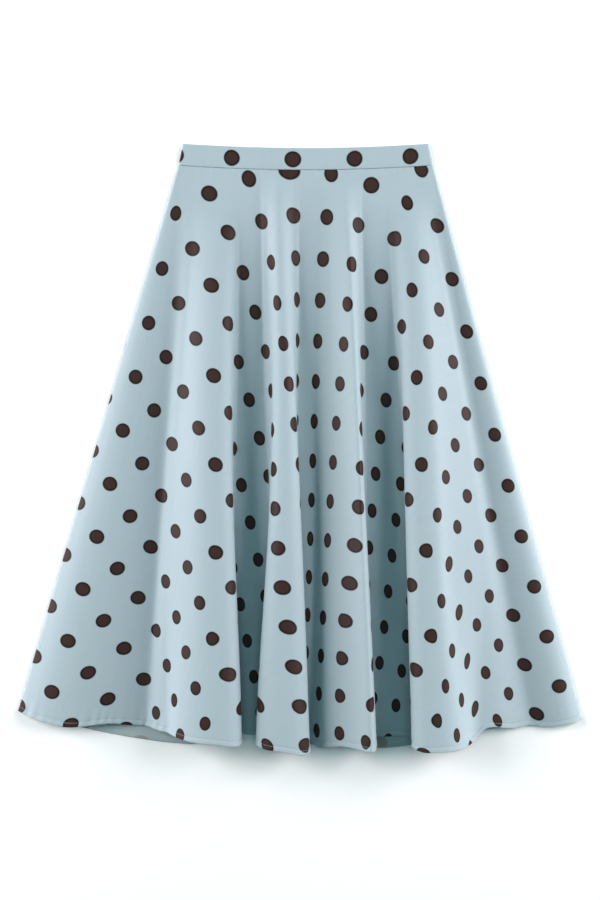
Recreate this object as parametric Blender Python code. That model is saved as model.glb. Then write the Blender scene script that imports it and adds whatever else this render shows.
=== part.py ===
"""A-line midi skirt, laid out flat with its front up: a Blender script.

The skirt is cut as a half circle, a quarter circle for the front and one for the
back. It lies on a surface in the XY plane: +X is the viewer's right, +Y points
from the hem to the waist, +Z is up, and the origin is under the middle of it. The
back panel lies flat, the front panel lies on it, and the front's spare width
stands up in four soft flutes that grow from the waist to the hem.

All sizes below are in millimetres.
"""

import math
from typing import NamedTuple

import bmesh
import bpy
from mathutils import Vector

MM = 0.001

# Outline: both side seams point at the apex, a place above the waist
APEX_X = 20.0
APEX_Y = 971.0
LEFT_SEAM_ANGLE = math.radians(-16.5)
RIGHT_SEAM_ANGLE = math.radians(14.9)
HEM_RADIUS = 1373.0
WAIST_SEAM_Y = 368.0
WAIST_RISE = 6.0
BAND_HEIGHT = 28.5
BAND_TAPER = 0.985

# Cloth
WALL = 1.2
BAND_WALL = 1.8
SEAM_GAP = 0.3
FRONT_LEVEL = WALL + SEAM_GAP + WALL / 2

# How far a crest's hem drops again when the front's hem is drawn up
FLUTE_DROP = 12.0

# Flutes
GROWTH = 0.7
EDGE_GROWTH = 0.75
TOE_GROWTH = 1.3

# Swell of the cloth between a side seam and the first flute, at the hem
WING_SWELL = 13.0

# Concealed zip in the side seam at the viewer's right
ZIP_LENGTH = 180.0
ZIP_LAP = 3.4
COIL_WIDTH = 2.2
COIL_THICKNESS = 1.2
SLIDER_THICKNESS = 1.7
ZIP_ROWS = 3

# Slider with its drop pull below it: share across the zip, height above the seam
SLIDER_OUTLINE = (
    (0.0, 25.0),
    (0.0, 18.5),
    (0.3, 17.5),
    (0.3, 12.5),
    (0.0, 9.0),
    (0.0, 3.0),
    (0.5, 0.5),
    (1.0, 3.0),
    (1.0, 9.0),
    (0.7, 12.5),
    (0.7, 17.5),
    (1.0, 18.5),
    (1.0, 25.0),
)

# Fineness of the meshes
FRONT_ROWS = 13
STEPS_PER_SPAN = 2
BACK_ROWS = 8
BACK_COLUMNS = 36
BAND_COLUMNS = 24


class Flute(NamedTuple):
    """One standing fold of the front panel.

    The places are x values: the toe is where the cloth turns up from the back
    panel, the edge is the widest place of the flute above it. A toe inside its
    edge means that the cloth is tucked under the flute. A bend moves an edge
    sideways, most of all two thirds of the way down, and the lean moves the crest,
    as a share of the flute's width.
    """

    name: str
    waist_left_toe: float
    waist_left_edge: float
    waist_right_edge: float
    waist_right_toe: float
    hem_left_toe: float
    hem_left_edge: float
    hem_right_edge: float
    hem_right_toe: float
    left_bend: float
    right_bend: float
    lean: float
    start: float
    height: float


FLUTES = (
    Flute("far left", -137, -124, -82, -73, -186, -161, -74, -96, -8, -8, 0, 0.10, 54.0),
    Flute("near left", -55, -46, -17, -4, -26, -57, 14, -14, 8, 0, 0, 0.0, 50.0),
    Flute("near right", 20, 36, 78, 92, 17, 27, 103, 96, 8, -2, -0.06, 0.02, 52.0),
    Flute("far right", 113, 126, 160, 168, 186, 146, 220, 240, -2, 5, -0.10, 0.12, 54.0),
)


class HemPlace(NamedTuple):
    """How far each panel's hem is drawn up at a place across it, in mm."""

    share_across: float
    front: float
    back: float


HEM_PLACES = (
    HemPlace(0.0, 0.0, 0.0),
    HemPlace(0.07, 1.3, 0.0),
    HemPlace(0.18, 17.5, 0.5),
    HemPlace(0.24, 19.5, 1.0),
    HemPlace(0.30, 25.0, 2.5),
    HemPlace(0.35, 27.5, 12.0),
    HemPlace(0.41, 23.0, 27.0),
    HemPlace(0.46, 22.5, 22.0),
    HemPlace(0.525, 13.0, 14.0),
    HemPlace(0.58, 21.0, 8.0),
    HemPlace(0.66, 19.5, 4.5),
    HemPlace(0.73, 14.5, 7.0),
    HemPlace(0.80, 13.0, 14.0),
    HemPlace(0.89, 8.7, 10.0),
    HemPlace(0.95, 1.5, 3.0),
    HemPlace(1.0, 0.0, 0.0),
)

# Form of that swell: share of the width from the seam, share of the height
WING_FORM = (
    (0.0, 0.0),
    (0.14, 0.75),
    (0.40, 1.0),
    (0.72, 0.12),
)

# Height of a flute's control points as a share of its height
TOE_TURN = 0.14
UNDER_SIDE = 0.20
LOW_SIDE = 0.36
HIGH_SIDE = 0.74
CREST = 1.05
SHOULDER = 0.26

# Where the control points beside a toe lie: before it in mm, after it as a share
TOE_RUN = 7.0
UNDER_SHARE = 0.3


def lerp(first: float, last: float, share: float) -> float:
    """A value between two others."""
    return first + (last - first) * share


def smooth(share: float) -> float:
    """A soft step from 0 to 1."""
    share = min(max(share, 0.0), 1.0)
    return share * share * (3.0 - 2.0 * share)


def radius_at(down: float) -> float:
    """Distance from the apex, from the waist seam (0) to the hem (1)."""
    return lerp(APEX_Y - WAIST_SEAM_Y, HEM_RADIUS, down)


def waist_x(angle: float) -> float:
    """Where a line from the apex crosses the waist seam."""
    return APEX_X + (APEX_Y - WAIST_SEAM_Y) * math.tan(angle)


def hem_x(angle: float) -> float:
    """Where a line from the apex crosses the hem."""
    return APEX_X + HEM_RADIUS * math.sin(angle)


def seam_x(angle: float, down: float) -> float:
    """X of a side seam, at a share of the way down."""
    return lerp(waist_x(angle), hem_x(angle), down)


def waist_y(x: float) -> float:
    """The waist seam: almost straight, a little higher at its ends."""
    middle = (waist_x(LEFT_SEAM_ANGLE) + waist_x(RIGHT_SEAM_ANGLE)) / 2
    half = (waist_x(RIGHT_SEAM_ANGLE) - waist_x(LEFT_SEAM_ANGLE)) / 2
    return WAIST_SEAM_Y + WAIST_RISE * ((x - middle) / half) ** 2


def row_y(x: float, down: float) -> float:
    """Y of a place on the flat layout, the rows turning from straight to arc."""
    away = (x - APEX_X) / radius_at(down)
    at_waist = waist_y(APEX_X + away * radius_at(0.0))
    at_hem = APEX_Y - HEM_RADIUS * math.sqrt(1.0 - away * away)
    return lerp(at_waist, at_hem, down)


def growth(flute: Flute, down: float) -> float:
    """How far a flute has risen, from 0 at its start to 1 at the hem."""
    share = (down - flute.start) / (1.0 - flute.start)
    return max(share, 0.0) ** GROWTH


def toe_x(waist: float, hem: float, tucked: bool, down: float) -> float:
    """X of a toe: a tucked one keeps outside its edge for longer."""
    return lerp(waist, hem, down ** (TOE_GROWTH if tucked else EDGE_GROWTH))


def flute_points(flute: Flute, down: float) -> list[tuple[float, float]]:
    """Control points (x, height) over one flute, from left to right."""
    edge_share = down**EDGE_GROWTH
    turn = 6.75 * down * down * (1.0 - down)
    left_tucked = flute.hem_left_toe > flute.hem_left_edge
    right_tucked = flute.hem_right_toe < flute.hem_right_edge
    left_toe = toe_x(flute.waist_left_toe, flute.hem_left_toe, left_tucked, down)
    left_edge = lerp(flute.waist_left_edge, flute.hem_left_edge, edge_share)
    left_edge += flute.left_bend * turn
    right_edge = lerp(flute.waist_right_edge, flute.hem_right_edge, edge_share)
    right_edge += flute.right_bend * turn
    right_toe = toe_x(flute.waist_right_toe, flute.hem_right_toe, right_tucked, down)
    height = flute.height * growth(flute, down)
    inward = SHOULDER * (right_edge - left_edge)
    lean = flute.lean * (right_edge - left_edge)
    return [
        (left_toe - TOE_RUN, 0.0),
        (left_toe, 0.0),
        (left_toe, TOE_TURN * height),
        (lerp(left_toe, left_edge, UNDER_SHARE), UNDER_SIDE * height),
        (left_edge, LOW_SIDE * height),
        (left_edge, HIGH_SIDE * height),
        (left_edge + inward + lean, CREST * height),
        (right_edge - inward + lean, CREST * height),
        (right_edge, HIGH_SIDE * height),
        (right_edge, LOW_SIDE * height),
        (lerp(right_toe, right_edge, UNDER_SHARE), UNDER_SIDE * height),
        (right_toe, TOE_TURN * height),
        (right_toe, 0.0),
        (right_toe + TOE_RUN, 0.0),
    ]


def wing_points(seam: float, toe: float, swell: float) -> list[tuple[float, float]]:
    """Control points from a side seam to the first toe, a low swell between."""
    return [(lerp(seam, toe, across), up * swell) for across, up in WING_FORM]


def section_points(down: float) -> list[tuple[float, float]]:
    """Control points (x, height) right across the front panel at one row."""
    flutes = [flute_points(flute, down) for flute in FLUTES]
    swell = WING_SWELL * down
    points = wing_points(seam_x(LEFT_SEAM_ANGLE, down), flutes[0][0][0], swell)
    for index, flute in enumerate(flutes):
        if index:
            points.append(((flutes[index - 1][-1][0] + flute[0][0]) / 2, 0.0))
        points += flute
    right = wing_points(seam_x(RIGHT_SEAM_ANGLE, down), flutes[-1][-1][0], swell)
    return points + right[::-1]


def spline(points: list[tuple[float, float]], steps: int) -> list[tuple[float, float]]:
    """A uniform cubic B-spline along control points, with its ends kept."""
    ends = [
        tuple(2 * a - b for a, b in zip(points[0], points[1])),
        tuple(2 * a - b for a, b in zip(points[-1], points[-2])),
    ]
    held = [ends[0], *points, ends[1]]
    curve = []
    for index in range(len(points) - 1):
        a, b, c, d = held[index : index + 4]
        for step in range(steps):
            u = step / steps
            weights = (
                (1 - u) ** 3 / 6,
                (3 * u**3 - 6 * u**2 + 4) / 6,
                (-3 * u**3 + 3 * u**2 + 3 * u + 1) / 6,
                u**3 / 6,
            )
            curve.append(
                tuple(
                    sum(w * p[axis] for w, p in zip(weights, (a, b, c, d)))
                    for axis in (0, 1)
                )
            )
    curve.append(points[-1])
    return curve


def drawn_up(x: float, down: float) -> tuple[float, float]:
    """How far the front and the back are drawn up at a place."""
    left = seam_x(LEFT_SEAM_ANGLE, down)
    right = seam_x(RIGHT_SEAM_ANGLE, down)
    share = min(max((x - left) / (right - left), 0.0), 1.0)
    pairs = zip(HEM_PLACES, HEM_PLACES[1:])
    low, high = next(pair for pair in pairs if share <= pair[1].share_across)
    part_way = smooth((share - low.share_across) / (high.share_across - low.share_across))
    front = lerp(low.front, high.front, part_way)
    back = lerp(low.back, high.back, part_way)
    return front * down * down, back * down * down


def front_point(x: float, height: float, down: float) -> Vector:
    """A place on the middle of the front's wall, in metres."""
    tallest = max(flute.height for flute in FLUTES)
    front, _ = drawn_up(x, down)
    y = row_y(x, down) + front - FLUTE_DROP * height / tallest * down * down
    return Vector((x, y, FRONT_LEVEL + height)) * MM


def back_point(x: float, down: float) -> Vector:
    """A place on the middle of the back's wall, in metres."""
    _, back = drawn_up(x, down)
    return Vector((x, row_y(x, down) + back, WALL / 2)) * MM


def front_grid(rows: int, steps: int) -> list[list[Vector]]:
    """The front panel as rows of points from the waist to the hem."""
    grid = []
    for row in range(rows):
        down = row / (rows - 1)
        section = spline(section_points(down), steps)
        grid.append([front_point(x, height, down) for x, height in section])
    return grid


def panel_length() -> float:
    """Length of a panel from the waist seam to the hem."""
    return radius_at(1.0) - radius_at(0.0)


def zip_rows() -> list[float]:
    """Rows beside the zip, as shares of the way down."""
    end = ZIP_LENGTH / panel_length()
    return [end * n / ZIP_ROWS for n in range(ZIP_ROWS + 1)]


def back_grid() -> list[list[Vector]]:
    """The back panel as rows of points, its underside at z = 0."""
    beside_zip = [(down, ZIP_LAP) for down in zip_rows()]
    zip_end = (ZIP_LENGTH + 1.0) / panel_length()
    below = [(lerp(zip_end, 1.0, n / BACK_ROWS), 0.0) for n in range(BACK_ROWS + 1)]
    grid = []
    for down, inset in [*beside_zip, *below]:
        left = seam_x(LEFT_SEAM_ANGLE, down)
        right = seam_x(RIGHT_SEAM_ANGLE, down) - inset
        places = [lerp(left, right, n / BACK_COLUMNS) for n in range(BACK_COLUMNS + 1)]
        grid.append([back_point(x, down) for x in places])
    return grid


def band_end(across: float) -> float:
    """X of the waistband's right end, from its seam (0) to its top (1)."""
    left = waist_x(LEFT_SEAM_ANGLE)
    right = waist_x(RIGHT_SEAM_ANGLE)
    middle = (left + right) / 2
    return middle + (right - middle) * lerp(1.0, BAND_TAPER, across)


def band_grid(right_inset: float, level: float) -> list[list[Vector]]:
    """One layer of the waistband, its ends leaning in a little to the top."""
    left = waist_x(LEFT_SEAM_ANGLE)
    right = waist_x(RIGHT_SEAM_ANGLE)
    middle = (left + right) / 2
    grid = []
    for across in (0.0, 1.0):
        narrow = lerp(1.0, BAND_TAPER, across)
        start = middle + (left - middle) * narrow
        end = band_end(across) - right_inset
        row = []
        for n in range(BAND_COLUMNS + 1):
            x = lerp(start, end, n / BAND_COLUMNS)
            y = waist_y(x) + lerp(SEAM_GAP, SEAM_GAP + BAND_HEIGHT, across)
            row.append(Vector((x, y, level)) * MM)
        grid.append(row)
    return grid


def cloth_material(name: str, colour: tuple[float, float, float]) -> bpy.types.Material:
    """A plain cloth finish."""
    material = bpy.data.materials.new(name)
    material.use_nodes = True
    shader = material.node_tree.nodes["Principled BSDF"]
    shader.inputs["Base Color"].default_value = (*colour, 1.0)
    shader.inputs["Roughness"].default_value = 0.55
    shader.inputs["Metallic"].default_value = 0.0
    return material


def add_object(name: str, mesh: bpy.types.Mesh, material: bpy.types.Material) -> bpy.types.Object:
    """Put a mesh into the scene under the whole part's empty."""
    mesh.materials.append(material)
    piece = bpy.data.objects.new(name, mesh)
    bpy.context.scene.collection.objects.link(piece)
    piece.parent = bpy.data.objects["skirt"]
    return piece


def add_sheet(
    name: str,
    grid: list[list[Vector]],
    thickness: float,
    material: bpy.types.Material,
) -> bpy.types.Object:
    """Make a cloth wall of even thickness round a grid of points."""
    columns = len(grid[0])
    faces = []
    for row in range(len(grid) - 1):
        for column in range(columns - 1):
            corner = row * columns + column
            faces.append((corner, corner + columns, corner + columns + 1, corner + 1))
    mesh = bpy.data.meshes.new(name)
    mesh.from_pydata([point for row in grid for point in row], [], faces)
    if mesh.polygons[0].normal.z < 0.0:
        mesh.flip_normals()
    mesh.shade_smooth()
    piece = add_object(name, mesh, material)
    wall = piece.modifiers.new("Wall", "SOLIDIFY")
    wall.thickness = thickness * MM
    wall.offset = 0.0
    wall.use_even_offset = True
    return piece


def add_bar(
    name: str,
    outline: list[tuple[float, float]],
    low: float,
    high: float,
    material: bpy.types.Material,
) -> bpy.types.Object:
    """Raise an outline (x, y) from one height to another as a closed bar."""
    mesh = bpy.data.meshes.new(name)
    shape = bmesh.new()
    corners = [shape.verts.new(Vector((x, y, low)) * MM) for x, y in outline]
    face = shape.faces.new(corners)
    raised = bmesh.ops.extrude_face_region(shape, geom=[face])
    moved = [item for item in raised["geom"] if isinstance(item, bmesh.types.BMVert)]
    bmesh.ops.translate(shape, verts=moved, vec=Vector((0, 0, (high - low) * MM)))
    bmesh.ops.recalc_face_normals(shape, faces=shape.faces)
    shape.to_mesh(mesh)
    shape.free()
    return add_object(name, mesh, material)


def beside_seam(inward: float, down: float) -> tuple[float, float]:
    """A place beside the right side seam, at a share of the way down."""
    x = seam_x(RIGHT_SEAM_ANGLE, down) - inward
    return x, row_y(x, down)


def beside_band(inward: float, up: float) -> tuple[float, float]:
    """A place beside the right end of the waistband, above the waist seam."""
    x = band_end(up / (SEAM_GAP + BAND_HEIGHT)) - inward
    return x, waist_y(x) + up


def add_zip(coil: bpy.types.Material, metal: bpy.types.Material) -> None:
    """The concealed zip: a closed coil and its slider, under the front's edge."""
    inner = ZIP_LAP - SEAM_GAP
    outer = inner - COIL_WIDTH
    side = [beside_seam(outer, down) for down in zip_rows()]
    side += [beside_seam(inner, down) for down in reversed(zip_rows())]
    add_bar("zip_coil", side, 0.0, COIL_THICKNESS, coil)
    outline = [
        beside_band(lerp(outer, inner, across), SEAM_GAP + up)
        for across, up in SLIDER_OUTLINE
    ]
    add_bar("zip_slider", outline, 0.0, SLIDER_THICKNESS, metal)


def middle_of_box() -> Vector:
    """The middle of the laid-out skirt's outline, in mm."""
    across = hem_x(LEFT_SEAM_ANGLE) + hem_x(RIGHT_SEAM_ANGLE)
    top = WAIST_SEAM_Y + WAIST_RISE + SEAM_GAP + BAND_HEIGHT
    hem = [*front_grid(FRONT_ROWS, STEPS_PER_SPAN)[-1], *back_grid()[-1]]
    bottom = min(point.y for point in hem) / MM
    return Vector((across / 2, (top + bottom) / 2, 0.0))


def clear_scene() -> None:
    """Remove what the scene holds."""
    for piece in list(bpy.data.objects):
        bpy.data.objects.remove(piece, do_unlink=True)


def main() -> None:
    """Build the skirt."""
    clear_scene()
    whole = bpy.data.objects.new("skirt", None)
    whole.location = -middle_of_box() * MM
    bpy.context.scene.collection.objects.link(whole)
    cloth = cloth_material("pale blue cloth", (0.45, 0.60, 0.65))
    coil = cloth_material("zip coil", (0.50, 0.62, 0.66))
    metal = cloth_material("painted slider", (0.48, 0.60, 0.64))
    add_sheet("skirt_back", back_grid(), WALL, cloth)
    add_sheet("skirt_front", front_grid(FRONT_ROWS, STEPS_PER_SPAN), WALL, cloth)
    add_sheet("waistband_back", band_grid(ZIP_LAP, BAND_WALL / 2), BAND_WALL, cloth)
    front_band_level = BAND_WALL * 1.5 + SEAM_GAP
    add_sheet("waistband_front", band_grid(0.0, front_band_level), BAND_WALL, cloth)
    add_zip(coil, metal)


main()
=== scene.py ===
"""A-line midi skirt, laid out flat: cloth, sewing, zip and studio.

The skirt is cut as a half circle from a satin-faced cotton with a dotted print. It
lies on a pale table with its front up. +X is the viewer's right, +Y runs from the hem
to the waist and +Z is up. Lengths in this file are in millimetres, and a mesh is
turned to metres when it is made.
"""

import logging
import math
from dataclasses import dataclass, field
from enum import Enum
from typing import Callable, NamedTuple

import bpy
import numpy as np
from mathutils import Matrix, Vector

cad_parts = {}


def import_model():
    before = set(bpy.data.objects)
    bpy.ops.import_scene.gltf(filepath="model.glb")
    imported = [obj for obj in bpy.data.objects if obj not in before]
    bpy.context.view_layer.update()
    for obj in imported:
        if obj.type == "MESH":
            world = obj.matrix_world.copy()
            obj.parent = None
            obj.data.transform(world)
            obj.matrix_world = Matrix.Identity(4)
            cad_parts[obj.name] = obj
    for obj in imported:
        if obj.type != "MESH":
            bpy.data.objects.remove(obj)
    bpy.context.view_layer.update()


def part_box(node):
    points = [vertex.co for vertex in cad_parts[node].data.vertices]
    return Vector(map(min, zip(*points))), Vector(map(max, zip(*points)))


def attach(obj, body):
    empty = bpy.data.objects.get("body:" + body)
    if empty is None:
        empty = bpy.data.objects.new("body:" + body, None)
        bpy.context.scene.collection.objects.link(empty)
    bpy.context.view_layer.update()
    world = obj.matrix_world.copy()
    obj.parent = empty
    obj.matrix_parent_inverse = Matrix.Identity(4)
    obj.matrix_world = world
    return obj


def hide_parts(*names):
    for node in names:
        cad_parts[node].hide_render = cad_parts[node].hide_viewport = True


LOG = logging.getLogger("skirt")
MM = 0.001
ROOT = "root"

# One value, or an array of them
Number = float | np.ndarray
Grid = np.ndarray
# Point numbers of each face
Faces = list[tuple[int, ...]]
Outline = list[tuple[float, float]]
Colour = tuple[float, float, float, float]
Material = bpy.types.Material
Node = bpy.types.ShaderNode
Socket = bpy.types.NodeSocket
Piece = bpy.types.Object


class Side(Enum):
    """Which side of a cloth a finish is for."""

    FACE = "face"
    REVERSE = "reverse"


class Flute(NamedTuple):
    """One standing fold of the front panel.

    The places are x values. The toe is where the cloth turns up from the back panel,
    the edge is the widest place of the flute above it, and a toe inside its edge is
    tucked under. A bend moves an edge sideways half way down. A slope lets a side
    lean, by so many mm between its foot and its shoulder, and a share of it is left
    at the hem. The top lies between two shares of the width. The print
    rows hold the angle in the cut, in degrees, at the left toe, left edge, crest,
    right edge and right toe.
    """

    name: str
    waist_left_toe: float
    waist_left_edge: float
    waist_right_edge: float
    waist_right_toe: float
    hem_left_toe: float
    hem_left_edge: float
    hem_right_edge: float
    hem_right_toe: float
    left_bend: float
    right_bend: float
    left_slope: float
    right_slope: float
    hem_slope: float
    top_left: float
    top_right: float
    start: float
    height: float
    print_at_waist: tuple[float, ...]
    print_at_hip: tuple[float, ...]
    print_at_knee: tuple[float, ...]
    print_at_hem: tuple[float, ...]


FLUTES = (
    Flute(
        "far left", -149, -124, -86, -77, -199, -164, -74, -96, -2, -8, 17, 0,
        0.3, 0.42, 0.84, 0.07, 54.0,
        (10.1, 15.3, 20.5, 24.6, 26.6),
        (10.3, 13.4, 17.7, 21.7, 23.2),
        (9.6, 12.6, 17.4, 20.7, 22.8),
        (10.0, 13.8, 18.9, 21.1, 23.0),
    ),
    Flute(
        "near left", -51, -34, -21, 1, -26, -57, 15, -14, 11, 0, 0, 0,
        1.0, 0.26, 0.74, 0.0, 50.0,
        (33.2, 37.4, 39.8, 43.2, 45.0),
        (28.7, 31.7, 36.0, 40.0, 43.9),
        (28.5, 33.0, 35.5, 38.5, 43.6),
        (30.0, 32.3, 35.5, 38.4, 43.5),
    ),
    Flute(
        "near right", 26, 49, 67, 83, 19, 56, 101, 93, 2, -3, 25, 0,
        1.0, 0.76, 0.90, 0.02, 50.0,
        (51.4, 56.4, 60.8, 64.5, 66.4),
        (50.0, 55.4, 59.5, 62.4, 63.9),
        (49.0, 54.8, 57.1, 59.9, 60.2),
        (49.2, 52.7, 56.7, 58.7, 59.9),
    ),
    Flute(
        "far right", 113, 126, 155, 167, 186, 146, 222, 301, -2, 3, 0, 32,
        0.2, 0.20, 0.66, 0.06, 54.0,
        (73.3, 77.2, 81.9, 87.3, 90.2),
        (70.7, 72.3, 76.7, 83.5, 86.5),
        (69.2, 71.3, 74.2, 82.0, 86.0),
        (68.2, 70.3, 72.8, 79.9, 86.2),
    ),
)


class HemPlace(NamedTuple):
    """How far each panel's hem is drawn up at a place across it, in mm."""

    share_across: float
    front: float
    back: float


HEM_PLACES = tuple(
    HemPlace(*row)
    for row in (
        (0.0, 0.0, 0.0), (0.07, 1.3, 0.0), (0.18, 17.5, 0.5), (0.24, 19.5, 1.0),
        (0.30, 25.0, 2.5), (0.35, 27.5, 12.0), (0.41, 23.0, 27.0), (0.46, 22.5, 22.0),
        (0.525, 13.0, 14.0), (0.58, 21.0, 8.0), (0.66, 19.5, 4.5), (0.73, 14.5, 7.0),
        (0.80, 9.0, 14.0), (0.83, 21.0, 13.0), (0.89, 9.5, 10.0), (0.95, 1.5, 3.0),
        (1.0, 0.0, 0.0),
    )
)

# How far down the rows of the print angles lie
PRINT_ROWS = (0.0, 0.33, 0.66, 1.0)
LEFT_SEAM_PRINT = (4.6, 1.3, 0.0, 0.1)
RIGHT_SEAM_PRINT = (91.8, 91.2, 90.8, 90.7)

# Where the five print angles of a flute stand among its control points
PRINT_PLACES = (1.0, 4.5, 6.5, 9.0, 12.0)

# Control points of a flute, and the one between it and the next
FLUTE_POINTS = 15


class Pucker(NamedTuple):
    """An uneven ripple beside a seam, in mm."""

    height: float
    length: float
    seed: float
    reach: float


# Height of the turned hem, the softness of its step and its middle, in mm
HEM_FOLD = 6.0
HEM_SOFTNESS = 1.2
HEM_MIDDLE = 5.0

FRONT_HEM_PUCKER = Pucker(0.55, 13.0, 0.4, 11.0)
BACK_HEM_PUCKER = Pucker(0.15, 14.0, 2.2, 9.0)
WAIST_PUCKER = Pucker(0.35, 11.0, 1.7, 14.0)
WAIST_DRAG = Pucker(0.25, 23.0, 0.2, 40.0)


def lerp(first: Number, last: Number, share: Number) -> Number:
    """A value, or an array of them, between two others."""
    return first + (last - first) * share


def smooth(share: Number) -> Number:
    """A soft step from 0 to 1."""
    share = np.clip(share, 0.0, 1.0)
    return share * share * (3.0 - 2.0 * share)


def ripple(along: Number, length: float, seed: float) -> Number:
    """An uneven ripple from -1 to 1 along a seam.

    Args:
        along: Distances along the seam, in mm.
        length: Usual distance from one crest to the next, in mm.
        seed: Shifts the pattern, so that no two seams pucker alike.

    Returns:
        The ripple at each distance.
    """
    turn = 2.0 * math.pi / length
    drift = 1.3 * np.sin(0.21 * turn * along + seed) + 0.9 * np.sin(0.083 * turn * along)
    strength = 0.6 + 0.4 * np.sin(0.137 * turn * along + 2.3 * seed)
    return strength * np.sin(turn * along + drift + 5.1 * seed)


def hill(value: Number, middle: float, width: float) -> Number:
    """A smooth hump of height 1."""
    return np.exp(-(((value - middle) / width) ** 2))


def hem_step(above: Number) -> Number:
    """1 on the turned hem and 0 above it, by the height above the hem's edge."""
    return smooth((HEM_FOLD + HEM_SOFTNESS / 2 - above) / HEM_SOFTNESS)


@dataclass(frozen=True)
class Layout:
    """Outline of the skirt as it lies. Both side seams point at the apex."""

    apex_x: float = 20.0
    apex_y: float = 971.0
    left_seam_angle: float = math.radians(-16.5)
    right_seam_angle: float = math.radians(14.9)
    hem_radius: float = 1373.0
    waist_seam_y: float = 368.0
    waist_rise: float = 6.0
    band_height: float = 28.5
    band_taper: float = 0.966
    right_inset: float = 4.0
    seam_gap: float = 0.3
    zip_length: float = 180.0
    zip_lap: float = 3.4

    @property
    def waist_radius(self) -> float:
        """Distance from the apex to the waist seam."""
        return self.apex_y - self.waist_seam_y

    @property
    def panel_length(self) -> float:
        """Length of a panel from the waist seam to the hem."""
        return self.hem_radius - self.waist_radius

    def seams(self, down: Number) -> tuple[Number, Number]:
        """X of the left and the right side seam, at a share of the way down.

        Each runs from where its line from the apex crosses the waist to the hem. The
        right one is drawn in a little at the waist.

        Args:
            down: Share of the way from the waist to the hem.

        Returns:
            X of the left and of the right seam, in mm.
        """
        left, right = (
            lerp(
                self.apex_x + self.waist_radius * math.tan(angle) - inset,
                self.apex_x + self.hem_radius * math.sin(angle),
                down,
            )
            for angle, inset in (
                (self.left_seam_angle, 0.0), (self.right_seam_angle, self.right_inset),
            )
        )
        return left, right

    def waist_y(self, x: Number) -> Number:
        """The waist seam: almost straight, a little higher at its ends.

        Args:
            x: Places across the waist, in mm.

        Returns:
            Y of the seam at each place, in mm.
        """
        left, right = self.seams(0.0)
        away = (x - (left + right) / 2) / ((right - left) / 2)
        return self.waist_seam_y + self.waist_rise * away**2

    def row_y(self, x: Number, down: Number) -> Number:
        """Y of a place on the flat layout, the rows turning from straight to arc.

        Args:
            x: Places across the row, in mm.
            down: Share of the way from the waist to the hem.

        Returns:
            Y of each place, in mm.
        """
        away = (x - self.apex_x) / lerp(self.waist_radius, self.hem_radius, down)
        at_waist = self.waist_y(self.apex_x + away * self.waist_radius)
        at_hem = self.apex_y - self.hem_radius * np.sqrt(1.0 - away * away)
        return lerp(at_waist, at_hem, down)

    def band_ends(self, across: float) -> tuple[float, float]:
        """X of the waistband's two ends, from its seam (0) to its top (1).

        Args:
            across: Share of the band's height.

        Returns:
            X of the left and of the right end, in mm.
        """
        left, right = self.seams(0.0)
        middle = (left + right) / 2
        narrow = lerp(1.0, self.band_taper, across)
        return middle + (left - middle) * narrow, middle + (right - middle) * narrow

    def drawn_up(self, x: np.ndarray, down: float) -> tuple[np.ndarray, np.ndarray]:
        """How far the front and the back are drawn up at places across a row.

        Args:
            x: Places across the row, in mm.
            down: Share of the way from the waist to the hem.

        Returns:
            The front's and the back's rise at each place, in mm.
        """
        left, right = self.seams(down)
        shares, fronts, backs = np.array(HEM_PLACES).T
        share = np.clip((x - left) / (right - left), 0.0, 1.0)
        part = np.interp(share, shares, range(len(shares)))
        low = np.minimum(part.astype(int), len(shares) - 2)
        eased = low + smooth(part - low)
        steps = range(len(shares))
        return np.interp(eased, steps, fronts) * down**2, np.interp(eased, steps, backs) * down**2

    def middle(self) -> np.ndarray:
        """The place in this layout that the frame has over its origin."""
        top = self.waist_seam_y + self.waist_rise + self.seam_gap + self.band_height
        return np.array([sum(self.seams(1.0)) / 2, top - self.frame_top(), 0.0])

    def frame_top(self) -> float:
        """Y of the waistband's highest corner in the frame, in mm.

        Returns:
            Its distance from the frame's origin.
        """
        ends = self.waist_seam_y + self.waist_rise * self.band_taper**2
        drop = self.waist_seam_y + self.waist_rise - ends
        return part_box("waistband_front")[1][1] / MM + drop


@dataclass(frozen=True)
class Cut:
    """A quarter circle of cloth with its two straight edges on the grain.

    The middle of it lies on the bias, which gives in length, so it is cut shorter.
    """

    waist_radius: float = 210.0
    hem_radius: float = 1005.0
    bias_short: float = 28.0
    sag: float = 10.0
    waist_ease: float = 5.5

    def radius(self, angle: np.ndarray, down: np.ndarray) -> np.ndarray:
        """Distance from the cut's centre.

        Args:
            angle: Angle from the first straight edge, in radians.
            down: Share of the way from the waist to the hem.

        Returns:
            The radius in the cut, in mm.
        """
        hem = self.hem_radius - self.bias_short * np.sin(2.0 * angle) ** 2
        sunk = self.sag * 4.0 * down * (1.0 - down) - self.waist_ease * (1.0 - down) ** 12
        return lerp(self.waist_radius, hem, down) - sunk

    def area(self) -> float:
        """Area of the quarter circle, in square metres."""
        hem = self.hem_radius - self.bias_short / 2.0
        return math.pi / 4.0 * (hem**2 - self.waist_radius**2) * MM * MM

    def box(self) -> tuple[float, float]:
        """Width and length of the cut piece, its middle line upright, in metres.

        Returns:
            The width and the length.
        """
        width = 2.0 * self.hem_radius * math.sin(math.radians(45.0))
        length = self.hem_radius - self.waist_radius * math.cos(math.radians(45.0))
        return width * MM, length * MM


def linear(code: str) -> Colour:
    """A linear colour from an sRGB hex value such as #b0c3cb.

    Args:
        code: The colour's hex value.

    Returns:
        Red, green, blue and alpha, from 0 to 1.
    """
    parts = [int(code[n : n + 2], 16) / 255.0 for n in (1, 3, 5)]
    turned = [c / 12.92 if c <= 0.04045 else ((c + 0.055) / 1.055) ** 2.4 for c in parts]
    return (*turned, 1.0)


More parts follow.
